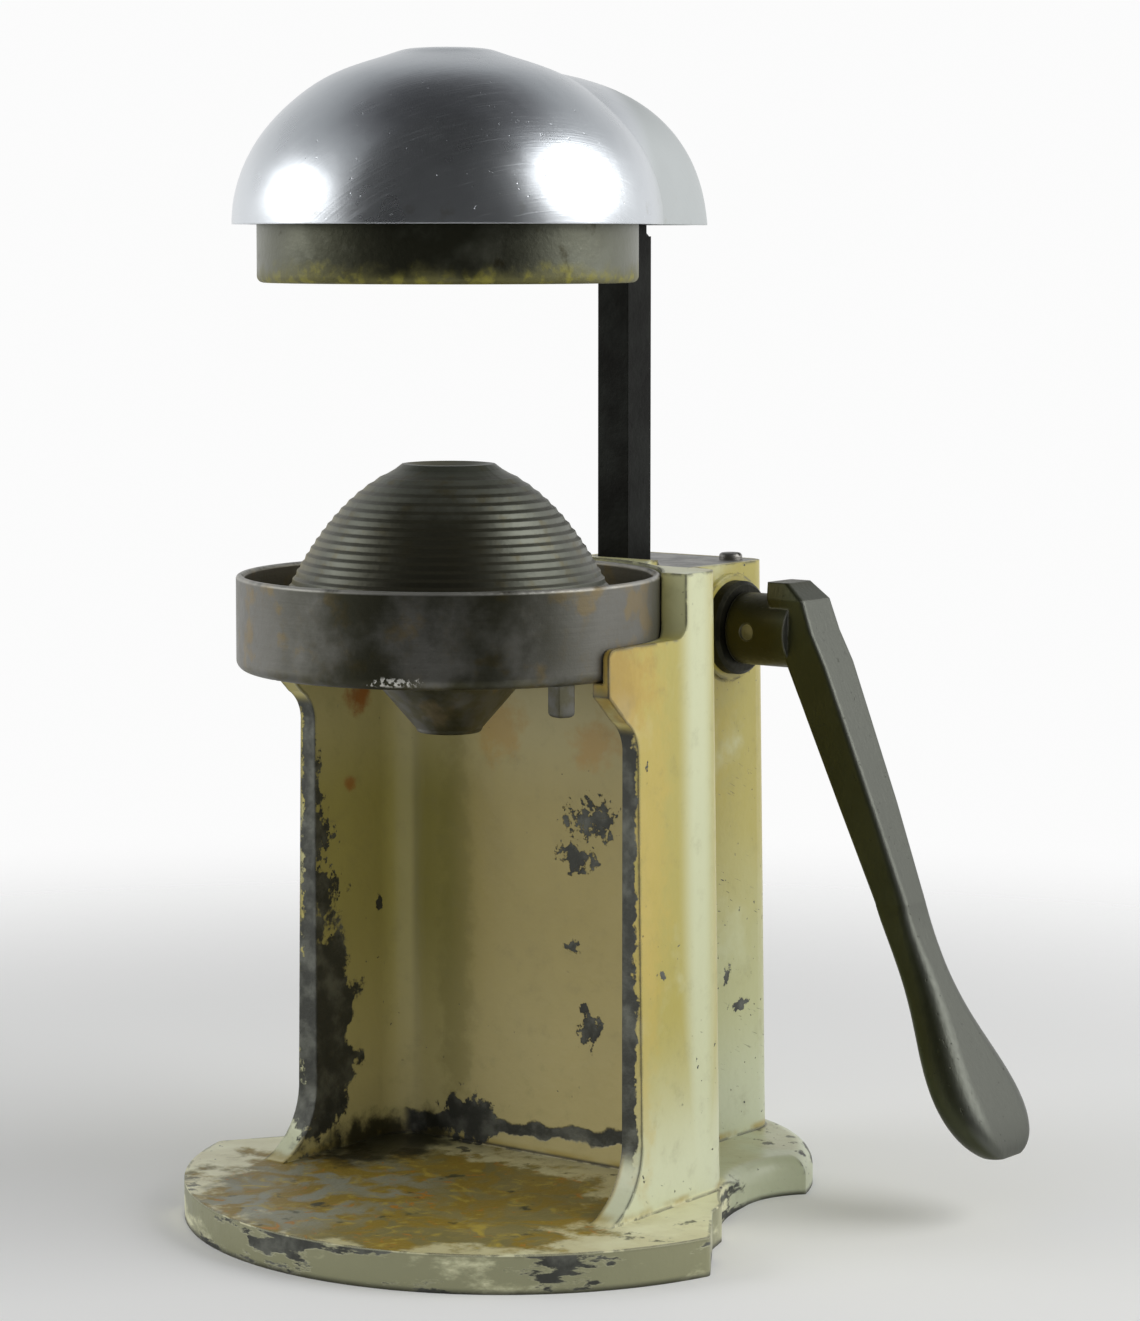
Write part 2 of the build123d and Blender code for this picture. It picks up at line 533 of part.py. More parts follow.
PIECES = {
    "frame_casting": frame_casting,
    "juice_bowl": juice_bowl,
    "strainer_cone": strainer_cone,
    "rack_guide": rack_guide,
    "friction_shoe": friction_shoe,
    "friction_spring": friction_spring,
    "guide_plate": guide_plate,
    "guide_plate_screws": guide_plate_screws,
    "collar_bush": collar_bush,
    "left_bush": left_bush,
    "crank_shaft": crank_shaft,
    "drive_pinion": drive_pinion,
    "pinion_pin": lambda: rod_z(1.5, 10.6, SHAFT_Y, SHAFT_Z - 8.2, SHAFT_Z + 8.2),
    "thrust_washer": thrust_washer,
    "crank_handle": crank_handle,
    "handle_pin": lambda: rod_y(2.0, SHAFT_Y - 8.8, SHAFT_Y + 8.8, 34.5, SHAFT_Z),
    "rack": rack,
    "rack_stop_pin": lambda: rod_x(1.5, -8, 8, 69.4, RACK_LOW_Z + 4.6),
    "rack_screws": rack_screws,
    "dome_head": dome_head,
    "pressing_cup": pressing_cup,
    "cup_spacer": cup_spacer,
    "cup_washer": cup_washer,
    "cup_screw": cup_screw,
}

os.makedirs("parts", exist_ok=True)
for name, make in PIECES.items():
    export_step(make(), f"parts/{name}.step")
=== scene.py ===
import json
from math import cos, radians, sin

import bmesh
import bpy
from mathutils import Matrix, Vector

# Looks for the hand-cranked citrus press. Positions inside materials are millimetres in the part's frame:
# the bowl's axis is x = y = 0, the tower is at +y, the crank at +x, and the base stands on z = 0.

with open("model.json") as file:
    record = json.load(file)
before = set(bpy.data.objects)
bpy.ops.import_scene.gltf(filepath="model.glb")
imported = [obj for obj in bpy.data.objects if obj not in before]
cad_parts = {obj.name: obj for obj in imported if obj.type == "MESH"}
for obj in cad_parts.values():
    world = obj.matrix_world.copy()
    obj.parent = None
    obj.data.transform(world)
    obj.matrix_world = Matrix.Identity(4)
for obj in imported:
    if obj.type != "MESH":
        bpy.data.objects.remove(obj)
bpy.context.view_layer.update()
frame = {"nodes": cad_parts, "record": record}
nodes = frame["nodes"]
MM = 0.001


# ---------------------------------------------------------------- node materials
class Shade:
    """Builds one procedural material. Sizes and places are in millimetres."""

    def __init__(self, name):
        self.material = bpy.data.materials.new(name)
        self.material.use_nodes = True
        self.tree = self.material.node_tree
        self.tree.nodes.clear()
        coordinates = self.tree.nodes.new("ShaderNodeTexCoord")
        self.place = self.vector("SCALE", coordinates.outputs["Object"], scale=1000.0)
        self.x, self.y, self.z = self.split(self.place)
        self.facing = self.split(coordinates.outputs["Normal"])

    def put(self, socket, value):
        """Gives an input a plain value, or links an output to it."""
        if isinstance(value, bpy.types.NodeSocket):
            self.tree.links.new(value, socket)
        elif hasattr(value, "__len__") and len(value) == 3 and len(socket.default_value) == 4:
            socket.default_value = (*value, 1.0)
        else:
            socket.default_value = value

    def split(self, vector):
        node = self.tree.nodes.new("ShaderNodeSeparateXYZ")
        self.put(node.inputs[0], vector)
        return tuple(node.outputs)

    def join(self, x, y, z):
        node = self.tree.nodes.new("ShaderNodeCombineXYZ")
        for socket, value in zip(node.inputs, (x, y, z)):
            self.put(socket, value)
        return node.outputs[0]

    def vector(self, operation, a, b=None, scale=None):
        node = self.tree.nodes.new("ShaderNodeVectorMath")
        node.operation = operation
        self.put(node.inputs[0], a)
        if b is not None:
            self.put(node.inputs[1], b)
        if scale is not None:
            self.put(node.inputs["Scale"], scale)
        return node.outputs["Value"] if operation in ("LENGTH", "DOT_PRODUCT") else node.outputs["Vector"]

    def sum(self, operation, a, b=0.0, clamp=False):
        node = self.tree.nodes.new("ShaderNodeMath")
        node.operation = operation
        node.use_clamp = clamp
        self.put(node.inputs[0], a)
        self.put(node.inputs[1], b)
        return node.outputs[0]

    def add(self, *values):
        total = values[0]
        for value in values[1:]:
            total = self.sum("ADD", total, value)
        return total

    def times(self, *values):
        total = values[0]
        for value in values[1:]:
            total = self.sum("MULTIPLY", total, value)
        return total

    def most(self, *masks):
        total = masks[0]
        for mask in masks[1:]:
            total = self.sum("MAXIMUM", total, mask)
        return total

    def off(self, mask):
        """The opposite of a mask."""
        return self.sum("SUBTRACT", 1.0, mask, clamp=True)

    def step(self, value, low, high):
        """Smooth 0 to 1 as the value goes from low to high; low may be above high."""
        node = self.tree.nodes.new("ShaderNodeMapRange")
        node.interpolation_type = "SMOOTHSTEP"
        flip = low > high
        limits = (min(low, high), max(low, high), float(flip), float(not flip))
        for socket, number in zip(list(node.inputs)[1:5], limits):
            socket.default_value = number
        self.put(node.inputs[0], value)
        return node.outputs[0]

    def between(self, value, low, high, soft):
        """1 between low and high, with soft edges."""
        above = self.step(value, low - soft, low + soft)
        below = self.step(value, high + soft, high - soft)
        return self.times(above, below)

    def noise(self, size, detail=4.0, roughness=0.55, stretch=(1, 1, 1), seed=0.0, place=None,
              distortion=0.0):
        """Noise from 0 to 1 whose blotches are about this size."""
        where = self.vector("MULTIPLY", place or self.place, tuple(1.0 / k for k in stretch))
        where = self.vector("ADD", where, (seed * 37.1, seed * 17.7, seed * 53.3))
        node = self.tree.nodes.new("ShaderNodeTexNoise")
        self.put(node.inputs["Vector"], where)
        self.put(node.inputs["Scale"], 1.0 / size)
        self.put(node.inputs["Detail"], detail)
        self.put(node.inputs["Roughness"], roughness)
        self.put(node.inputs["Distortion"], distortion)
        return node.outputs[0]

    def flecks(self, size, low, high, **options):
        """Mask of the noise's peaks."""
        return self.step(self.noise(size, **options), low, high)

    def blob(self, centre, radii, ragged=0.5, size=5.0, soft=0.25, seed=1.0):
        """Mask of an ellipsoid with a ragged edge: 1 inside, 0 outside."""
        away = self.vector("SUBTRACT", self.place, tuple(centre))
        away = self.vector("MULTIPLY", away, tuple(1.0 / r for r in radii))
        distance = self.vector("LENGTH", away)
        rough = self.sum("SUBTRACT", self.noise(size, detail=5.0, roughness=0.65, seed=seed), 0.5)
        distance = self.add(distance, self.times(rough, ragged * 4.0))
        return self.step(distance, 1.0 + soft, 1.0 - soft)

    def from_axis(self):
        """Distance from the bowl's axis."""
        return self.vector("LENGTH", self.join(self.x, self.y, 0.0))

    def side(self, azimuth, low, high):
        """Mask of the side of a round piece that faces this azimuth; 0 is the front, 90 the crank side."""
        a = radians(azimuth)
        along = self.add(self.times(self.x, sin(a)), self.times(self.y, -cos(a)))
        away = self.sum("MAXIMUM", self.from_axis(), 1.0)
        return self.step(self.sum("DIVIDE", along, away), low, high)

    def mix(self, share, a, b):
        node = self.tree.nodes.new("ShaderNodeMix")
        node.data_type = "RGBA"
        self.put(node.inputs[0], share)
        self.put(node.inputs[6], a)
        self.put(node.inputs[7], b)
        return node.outputs[2]

    def shift(self, share, a, b):
        """Plain number that goes from a to b."""
        return self.add(a, self.times(share, self.sum("SUBTRACT", b, a)))

    def rounded(self, radius):
        """Normal that turns smoothly over every edge within this distance."""
        bevel = self.tree.nodes.new("ShaderNodeBevel")
        bevel.samples = 4
        bevel.inputs["Radius"].default_value = radius * MM
        return bevel.outputs[0]

    def edge(self, radius, low, high):
        """Mask of the sharp edges, convex and concave, within this distance."""
        flat = self.tree.nodes.new("ShaderNodeNewGeometry").outputs["Normal"]
        same = self.vector("DOT_PRODUCT", self.rounded(radius), flat)
        return self.step(self.sum("SUBTRACT", 1.0, same), low, high)

    def finish(self, colour, metallic, roughness, height=None, depth=0.2, round_edge=0.0):
        """Principled shader and output. Height is relief in units of depth, which is in millimetres."""
        shader = self.tree.nodes.new("ShaderNodeBsdfPrincipled")
        self.put(shader.inputs["Base Color"], colour)
        self.put(shader.inputs["Metallic"], metallic)
        self.put(shader.inputs["Roughness"], roughness)
        normal = self.rounded(round_edge) if round_edge else None
        if height is not None:
            bump = self.tree.nodes.new("ShaderNodeBump")
            bump.inputs["Distance"].default_value = depth * MM
            self.put(bump.inputs["Height"], height)
            if normal is not None:
                self.put(bump.inputs["Normal"], normal)
            normal = bump.outputs[0]
        if normal is not None:
            self.put(shader.inputs["Normal"], normal)
        out = self.tree.nodes.new("ShaderNodeOutputMaterial")
        self.put(out.inputs["Surface"], shader.outputs[0])
        return self.material


# ---------------------------------------------------------------- enamelled casting
PALE = (0.55, 0.57, 0.36)
YELLOW = (0.40, 0.345, 0.085)
OCHRE = (0.36, 0.22, 0.035)
GREEN_GREY = (0.42, 0.44, 0.24)
TAN = (0.34, 0.28, 0.095)
OLIVE = (0.23, 0.205, 0.055)
BARE = (0.055, 0.057, 0.048)
BARE_LIGHT = (0.15, 0.155, 0.13)
RUST = (0.30, 0.10, 0.015)
# Near black, for painted shade in a corner, a painted contact shadow and dirt in a seam.
SHADE_AND_GRIME = (0.012, 0.012, 0.006)

# Faces of the casting, in millimetres.
CHEEK_IN = 48.0
CHEEK_OUT = 55.0
TOWER_SIDE = 25.0
WALL_Y = 39.0
TOWER_Y = 44.0
FOOT_TOP = 9.2
BAY_TOP = 137.0

# Place, radii, tint and share of each stain, and of one strip of painted shade.
STAINS_AND_SHADE = [
    ((54, 0, 138), (12, 11, 13), OCHRE, 0.75),
    ((54, 10, 105), (10, 7, 45), (0.50, 0.36, 0.07), 0.45),
    ((54, 6, 60), (8, 5, 40), (0.50, 0.38, 0.10), 0.40),
    ((TOWER_SIDE, 70, 118), (9, 14, 22), (0.44, 0.35, 0.05), 0.55),
    ((-CHEEK_IN, 22, 124), (3, 4, 3.5), RUST, 0.95),
    ((-CHEEK_IN, 19, 102), (2, 2, 2), RUST, 0.8),
    ((-16, WALL_Y, 118), (7, 4, 8), (0.40, 0.24, 0.04), 0.6),
    ((14, WALL_Y, 114), (6, 4, 5), (0.42, 0.24, 0.04), 0.6),
    ((30, WALL_Y, 122), (10, 4, 9), (0.40, 0.25, 0.05), 0.5),
    # Painted shade: a dark vertical strip down the left part of the back wall.
    ((-30, WALL_Y, 60), (5, 4, 60), (0.15, 0.13, 0.03), 0.35),
]

# Place and radii of each small patch without enamel.
CHIPS = [
    ((-CHEEK_IN, 6, 91), (4, 5, 5)),
    ((-CHEEK_IN, 8, 77), (4, 5, 4)),
    ((-CHEEK_IN, 4, 102), (4, 3, 9)),
    ((13, WALL_Y, 96), (6.5, 3, 4)),
    ((9, WALL_Y, 86), (4.6, 3, 2.8)),
    ((7.6, WALL_Y, 63.7), (1.8, 2, 1.6)),
    ((11, WALL_Y, 48.3), (1.4, 2, 1.4)),
    ((13, WALL_Y, 43), (3, 2, 3.6)),
    ((-CHEEK_IN, 30, 70), (3, 1.2, 2)),
    ((CHEEK_OUT, 14, 65.8), (2, 1.6, 1.2)),
    ((TOWER_SIDE, 88, 43), (2, 4.5, 1.2)),
    ((TOWER_SIDE, 82, 52), (2, 1.6, 2.4)),
    ((CHEEK_OUT, 9, 115), (2, 0.7, 5)),
]


def outside_colour(s):
    """Cream enamel outside: yellow in the middle of the cheeks, pale near the foot, with a painted highlight
    down the rounded ridges.
    """
    clouds = s.noise(34.0, detail=5.0, seed=1)
    # Painted highlight: paler down the rounded ridge where each cheek turns back towards the tower.
    painted_ridge_highlight = s.times(s.between(s.y, 25.0, 36.0, 4.0), s.step(s.x, 40.0, 50.0))
    low = s.step(s.add(s.z, s.times(clouds, 30.0)), 75.0, 25.0)
    patch = s.step(clouds, 0.52, 0.68)
    pale = s.most(painted_ridge_highlight, low, s.times(patch, 0.75))
    colour = s.mix(pale, YELLOW, PALE)
    tower = s.step(s.y, TOWER_Y, TOWER_Y + 6.0)
    cheeks = s.off(tower)
    dull = s.times(tower, s.step(s.add(s.z, s.times(clouds, 40.0)), 115.0, 70.0))
    colour = s.mix(s.times(dull, 0.75), colour, GREEN_GREY)
    cream_foot = s.times(tower, s.step(s.z, 45.0, 15.0))
    colour = s.mix(s.times(cream_foot, 0.6), colour, (0.50, 0.54, 0.40))
    colour = s.mix(s.times(s.step(s.z, 40.0, 10.0), cheeks, 0.8), colour, (0.62, 0.65, 0.46))
    foot = s.step(s.z, FOOT_TOP + 1.3, FOOT_TOP + 0.3)
    return s.mix(s.times(foot, cheeks, 0.8), colour, (0.80, 0.78, 0.50))


def inside_colour(s):
    """Tan and olive enamel inside the bay, partly stain and partly painted shade of the recess: darker
    towards the left corner and paler near the foot.
    """
    clouds = s.noise(22.0, detail=5.0, stretch=(1, 1, 2.2), seed=2)
    # Olive on the left, tan in the middle and paler to the right: the enamel's tones, with painted shade on
    # the left and painted light on the right of the back wall.
    colour = s.mix(s.step(s.x, -34.0, -20.0), OLIVE, TAN)
    colour = s.mix(s.step(s.x, 8.0, 46.0), colour, (0.44, 0.37, 0.15))
    # Painted light: a paler band down the bay's left rear corner.
    corner = s.times(s.step(s.x, -42.5, -44.5), s.step(s.y, 30.0, 36.0))
    colour = s.mix(corner, colour, (0.36, 0.32, 0.095))
    left_cheek = s.step(s.x, 1.2 - CHEEK_IN, 0.4 - CHEEK_IN)
    colour = s.mix(left_cheek, colour, (0.34, 0.30, 0.085))
    colour = s.mix(s.times(s.step(clouds, 0.45, 0.75), 0.35), colour, (0.24, 0.20, 0.07))
    # Painted light: the upper back wall is made paler against the shadow the bowl casts on it.
    colour = s.mix(s.times(s.step(s.z, 95.0, 125.0), 0.6), colour, (0.52, 0.47, 0.24))
    return s.mix(s.times(s.step(s.z, 75.0, 15.0), 0.60), colour, (0.56, 0.49, 0.24))


def stain_and_shade_marks(s, colour):
    """Ochre and rust stains that run down from the bowl, a strip of painted shade on the back wall, and the
    yellow line at the wall's foot.
    """
    for number, (centre, radii, tint, share) in enumerate(STAINS_AND_SHADE):
        mask = s.blob(centre, radii, ragged=0.65, size=6.0, soft=0.5, seed=number + 3)
        colour = s.mix(s.times(mask, share), colour, tint)
    foot = s.times(s.between(s.z, FOOT_TOP + 0.2, FOOT_TOP + 1.8, 0.8), s.flecks(14.0, 0.35, 0.6, seed=5))
    return s.mix(s.times(foot, 0.8), colour, (0.36, 0.27, 0.06))


def ragged_band(s):
    """Bare band along the foot of the back wall, with a peak near its left end."""
    rise = s.times(s.noise(9.0, detail=5.0, seed=7), 9.0)
    line = s.add(15.0, s.times(s.add(s.x, 10.0), 0.07), rise, -4.5)
    away = s.sum("ABSOLUTE", s.sum("SUBTRACT", s.z, line))
    wall = s.times(s.step(s.y, WALL_Y - 3.0, WALL_Y - 1.0), s.step(s.y, WALL_Y + 1.5, WALL_Y + 0.5),
                   s.step(s.x, 40.0, 36.0))
    peak = s.blob((-26, WALL_Y, 15), (9, 3, 6.5), ragged=0.7, size=4.0, soft=0.1, seed=8)
    return s.times(wall, s.most(s.step(away, 2.4, 1.6), peak))


def chip_mask(s):
    """Where the enamel is gone: patches on the cheeks and the walls, and specks."""
    left = s.step(s.x, 2.0 - CHEEK_IN, 0.5 - CHEEK_IN)
    big = s.blob((-CHEEK_IN, 7, 42), (9, 12, 31), ragged=0.75, size=9.0, soft=0.10, seed=11)
    masks = [s.times(left, big), ragged_band(s)]
    for number, (centre, radii) in enumerate(CHIPS):
        masks.append(s.blob(centre, radii, ragged=1.15, size=2.6, soft=0.08, seed=number + 20))
    side = s.times(s.step(s.y, 60.0, 70.0), s.step(s.z, 90.0, 45.0))
    specks = s.flecks(1.6, 0.70, 0.74, detail=2.0, seed=9)
    masks.append(s.times(specks, s.most(side, s.flecks(40.0, 0.5, 0.6, seed=10))))
    return s.most(*masks)


def scratch_mask(s):
    """Short slanting scratches low on the tower's sides."""
    along = s.add(s.y, s.times(s.z, -0.45))
    across = s.add(s.z, s.times(s.y, 0.45))
    drawn_out = s.join(s.times(along, 0.16), s.times(across, 1.3), 0.0)
    lines = s.flecks(1.0, 0.66, 0.70, detail=2.0, place=drawn_out)
    region = s.times(s.step(s.y, 60.0, 72.0), s.between(s.z, 30.0, 100.0, 25.0))
    return s.times(lines, region, s.flecks(18.0, 0.45, 0.60, seed=12))


def worn_edges(s):
    """Sharp edges rubbed bare here and there, and the cheeks' front faces almost wholly."""
    rim = s.times(s.edge(1.5, 0.02, 0.10), s.flecks(7.0, 0.42, 0.50, detail=5.0, seed=43))
    lip = s.times(s.edge(1.0, 0.02, 0.10), s.step(s.y, 9.0, 6.5), s.step(s.z, 14.0, 20.0))
    ragged = s.times(s.add(s.noise(4.0, detail=5.0, roughness=0.65, seed=54), -0.5), 7.0)
    front = s.times(s.step(s.facing[1], -0.6, -0.9), s.step(s.y, 9.0, 7.0), s.between(s.z, 22.0, 134.0, 3.0))
    front = s.times(front, s.step(s.add(s.sum("ABSOLUTE", s.x), ragged), 52.3, 51.7))
    return s.most(rim, lip, front)


def stained_plate(s):
    """Top of the foot, worn through: brown and olive, grey at the front left, with yellow and rust marks."""
    plate = s.mix(s.flecks(16.0, 0.35, 0.65, seed=45), (0.19, 0.165, 0.055), (0.24, 0.20, 0.07))
    grey = s.blob((-26, -30, 9), (24, 34, 20), ragged=0.5, size=16.0, soft=0.6, seed=57)
    plate = s.mix(s.times(grey, 0.85), plate, (0.28, 0.29, 0.23))
    brown = s.flecks(13.0, 0.44, 0.58, detail=6.0, distortion=1.2, seed=46)
    plate = s.mix(brown, plate, (0.26, 0.18, 0.02))
    yellow = s.flecks(7.0, 0.52, 0.74, detail=6.0, distortion=1.5, seed=47)
    plate = s.mix(yellow, plate, (0.42, 0.32, 0.05))
    rusty = s.flecks(5.0, 0.60, 0.70, detail=5.0, distortion=1.5, seed=48)
    plate = s.mix(rusty, plate, (0.40, 0.18, 0.015))
    return s.mix(s.flecks(7.0, 0.62, 0.72, detail=6.0, seed=55), plate, (0.05, 0.05, 0.02))


def enamel():
    s = Shade("worn_cream_enamel")
    inner = s.times(s.step(s.sum("ABSOLUTE", s.x), CHEEK_IN + 1.5, CHEEK_IN + 0.3),
                    s.step(s.y, WALL_Y + 1.5, WALL_Y + 0.4), s.step(s.z, FOOT_TOP - 0.2, FOOT_TOP + 0.3),
                    s.step(s.z, BAY_TOP, BAY_TOP - 0.5))
    colour = s.mix(inner, outside_colour(s), inside_colour(s))
    colour = stain_and_shade_marks(s, colour)
    fine = s.noise(6.0, detail=6.0, roughness=0.7, seed=13)
    colour = s.mix(s.times(s.step(fine, 0.50, 0.85), 0.35), colour, (0.20, 0.18, 0.08))

    top = s.times(s.step(s.z, FOOT_TOP - 0.3, FOOT_TOP - 0.05), s.step(s.z, FOOT_TOP + 0.4, FOOT_TOP + 0.1),
                  s.step(s.facing[2], 0.5, 0.9))
    worn = s.times(top, s.blob((-2, -14, 9), (54, 45, 20), ragged=0.30, size=14.0, soft=0.10, seed=40))
    foot_side = s.times(s.step(s.z, FOOT_TOP - 0.15, FOOT_TOP - 0.5), s.step(s.z, -0.5, 0.2))
    flakes = s.flecks(11.0, 0.54, 0.59, detail=6.0, roughness=0.62, stretch=(2.2, 2.2, 0.6), seed=41)
    foot_chips = s.times(foot_side, flakes)
    chips = s.most(chip_mask(s), scratch_mask(s), worn_edges(s), foot_chips)
    metal = s.mix(s.flecks(7.0, 0.40, 0.70, seed=44), BARE, BARE_LIGHT)
    border = s.times(top, s.flecks(12.0, 0.62, 0.66, detail=6.0, roughness=0.65, seed=42), 0.8)
    chips = s.most(chips, border)
    colour = s.mix(chips, colour, metal)
    colour = s.mix(worn, colour, stained_plate(s))
    clouds = s.flecks(17.0, 0.34, 0.50, detail=6.0, roughness=0.65, stretch=(2.0, 2.0, 0.8), seed=56)
    mottled = s.times(foot_side, s.step(s.y, 34.0, 22.0), clouds)
    colour = s.mix(s.times(mottled, s.off(foot_chips), 0.9), colour, (0.19, 0.19, 0.10))

    # Painted shade in the bay's left rear corner, a painted contact shadow along the bottom edge of the
    # base, and dirt in the seam at the foot of the back wall, all mixed towards near black.
    corner = s.blob((-40, 24, 9), (13, 22, 7), ragged=0.45, size=7.0, soft=0.35, seed=50)
    painted_contact_shadow = s.times(s.step(s.z, 1.6, 0.2), 0.8)
    seam = s.times(s.between(s.z, FOOT_TOP + 0.1, FOOT_TOP + 0.8, 0.5), s.step(s.y, 30.0, 36.0), inner)
    darkening = s.most(corner, painted_contact_shadow, seam)
    colour = s.mix(s.times(darkening, 0.95), colour, SHADE_AND_GRIME)

    bare = s.most(chips, worn)
    metallic = s.times(chips, s.off(worn), s.off(darkening), 0.5)
    roughness = s.shift(bare, s.add(0.24, s.times(fine, 0.22)), 0.55)
    height = s.add(s.times(s.off(bare), 0.6), s.times(s.noise(3.5, detail=3.0, seed=51), 0.35),
                   s.times(s.noise(16.0, seed=52), 0.9), s.times(bare, s.noise(1.2, seed=53), 0.5))
    return s.finish(colour, metallic, roughness, height, depth=0.35, round_edge=0.9)


# ---------------------------------------------------------------- aluminium parts
# Where the looks change, in millimetres.
BOWL_INSIDE_LOW = 139.0
BOWL_RIM = 159.0
BOWL_INNER_RADIUS = 49.0
RIDGES_LOW = 147.4
RIDGES_HIGH = 184.4
RIDGE_PITCH = 1.86


def bowl_metal():
    """Dull aluminium with a painted dark reflection towards the front, bright at the rim and on the nicks.
    """
    s = Shade("dull_bowl_aluminium")
    clouds = s.noise(26.0, detail=5.0, seed=1)
    mottle = s.noise(5.0, detail=6.0, roughness=0.7, seed=2)
    colour = s.mix(clouds, (0.12, 0.115, 0.095), (0.20, 0.20, 0.185))
    colour = s.mix(s.times(s.step(mottle, 0.5, 0.8), 0.5), colour, (0.17, 0.14, 0.085))
    colour = s.mix(s.times(s.flecks(12.0, 0.56, 0.66, seed=3), 0.5), colour, (0.24, 0.17, 0.06))
    low = s.times(s.step(s.z, 140.5, 137.0), s.flecks(5.0, 0.40, 0.60, seed=4))
    colour = s.mix(s.times(low, 0.7), colour, (0.11, 0.10, 0.05))
    spot = s.blob((22, -46, 138.2), (6, 3, 1.8), ragged=1.0, size=1.8, soft=0.1, seed=5)
    nicks = s.times(s.between(s.z, 137.6, 139.6, 0.5), spot, s.flecks(1.1, 0.46, 0.56, seed=10))
    rim = s.times(s.step(s.z, BOWL_RIM - 0.6, BOWL_RIM), s.flecks(8.0, 0.30, 0.50, seed=6))
    # Painted dark reflection: the side of the bowl towards the front is painted near black.
    painted_dark_reflection = s.times(s.side(32.0, 0.60, 0.98), s.step(s.noise(18.0, detail=5.0, seed=9), 0.25, 0.60))
    colour = s.mix(s.times(painted_dark_reflection, 0.88), colour, (0.020, 0.020, 0.006))
    bright = s.most(nicks, s.times(rim, 0.5))
    colour = s.mix(bright, colour, (0.62, 0.61, 0.56))
    inside = s.times(s.step(s.z, BOWL_INSIDE_LOW, BOWL_INSIDE_LOW + 1.5),
                     s.step(s.from_axis(), BOWL_INNER_RADIUS + 0.6, BOWL_INNER_RADIUS - 0.2))
    colour = s.mix(s.times(inside, 0.5), colour, (0.12, 0.10, 0.05))
    turning = s.noise(0.9, detail=2.0, stretch=(40, 40, 1), seed=7)
    height = s.add(s.times(mottle, 0.5), s.times(turning, 0.25), s.times(nicks, -0.5),
                   s.times(s.noise(1.3, seed=8), 0.3))
    return s.finish(colour, 0.85, s.add(0.36, s.times(mottle, 0.22)), height, depth=0.16, round_edge=0.5)


def cone_metal():
    """Grey aluminium with turned ridges, stained yellow towards the left, with a painted dark reflection at
    the front.
    """
    s = Shade("stained_cone_aluminium")
    turns = s.sum("FRACT", s.times(s.sum("SUBTRACT", RIDGES_HIGH, s.z), 1.0 / RIDGE_PITCH))
    ridged = s.times(s.step(s.z, RIDGES_LOW, RIDGES_LOW + 0.8),
                     s.step(s.z, RIDGES_HIGH + 0.4, RIDGES_HIGH - 0.2))
    groove = s.times(s.step(turns, 0.45, 0.72), s.step(turns, 1.0, 0.9), ridged)
    colour = s.mix(s.noise(14.0, detail=5.0, seed=1), (0.085, 0.09, 0.07), (0.16, 0.165, 0.135))
    stain = s.step(s.add(s.x, s.times(s.y, -0.5), s.times(s.noise(12.0, seed=2), 16.0)), 12.0, -16.0)
    colour = s.mix(s.times(stain, 0.85), colour, (0.27, 0.22, 0.065))
    colour = s.mix(s.times(s.flecks(5.0, 0.52, 0.7, seed=3), 0.5), colour, (0.11, 0.09, 0.035))
    below_tip = s.step(s.add(s.z, s.times(s.noise(9.0, seed=6), 12.0)), 188.0, 178.0)
    # Painted dark reflection: the side of the cone towards the front, below the tip, is painted near black.
    painted_dark_front = s.times(s.side(30.0, 0.72, 0.98), below_tip)
    colour = s.mix(s.times(painted_dark_front, 0.85), colour, (0.022, 0.020, 0.008))
    colour = s.mix(s.times(groove, s.shift(stain, 0.60, 0.30)), colour, (0.05, 0.047, 0.03))
    tip = s.step(s.z, 183.0, 185.0)
    colour = s.mix(s.times(tip, 0.5), colour, (0.05, 0.055, 0.04))
    height = s.add(s.times(s.noise(2.2, detail=5.0, seed=4), 0.6), s.times(s.noise(9.0, seed=5), 0.5))
    metallic = s.shift(stain, 0.7, 0.25)
    roughness = s.shift(stain, 0.44, 0.58)
    return s.finish(colour, metallic, roughness, height, depth=0.18, round_edge=0.3)


def dome_metal():
    """Bright metal with slanting scratches, haze, and duller towards the hood."""
    s = Shade("polished_dome_aluminium")
    tilt = s.add(s.x, s.times(s.z, 0.8))
    across = s.add(s.z, s.times(s.x, -0.8), s.times(s.y, 0.3))
    drawn_out = s.join(s.times(tilt, 0.05), s.times(across, 2.2), s.times(s.y, 0.08))
    scratches = s.noise(1.0, detail=3.0, place=drawn_out, seed=1)
    haze = s.noise(15.0, detail=5.0, seed=2)
    colour = s.mix(haze, (0.55, 0.58, 0.61), (0.68, 0.71, 0.74))
    darkening = s.times(s.flecks(7.0, 0.58, 0.72, detail=6.0, seed=3), s.step(s.z, 252.0, 244.0))
    colour = s.mix(s.times(darkening, 0.35), colour, (0.32, 0.30, 0.22))
    hood = s.step(s.add(s.y, s.times(s.sum("ABSOLUTE", s.x), 0.55)), 42.0, 54.0)
    colour = s.mix(s.times(hood, 0.6), colour, (0.42, 0.45, 0.43))
    pits = s.flecks(1.5, 0.70, 0.76, detail=2.0, seed=4)
    roughness = s.add(0.23, s.times(haze, 0.12), s.times(hood, 0.14),
                      s.times(s.step(scratches, 0.55, 0.75), 0.10))
    dents = s.noise(18.0, detail=2.0, seed=5)
    height = s.add(s.times(scratches, 0.5), s.times(dents, 2.5), s.times(pits, -0.8))
    return s.finish(colour, 1.0, roughness, height, depth=0.05, round_edge=0.5)


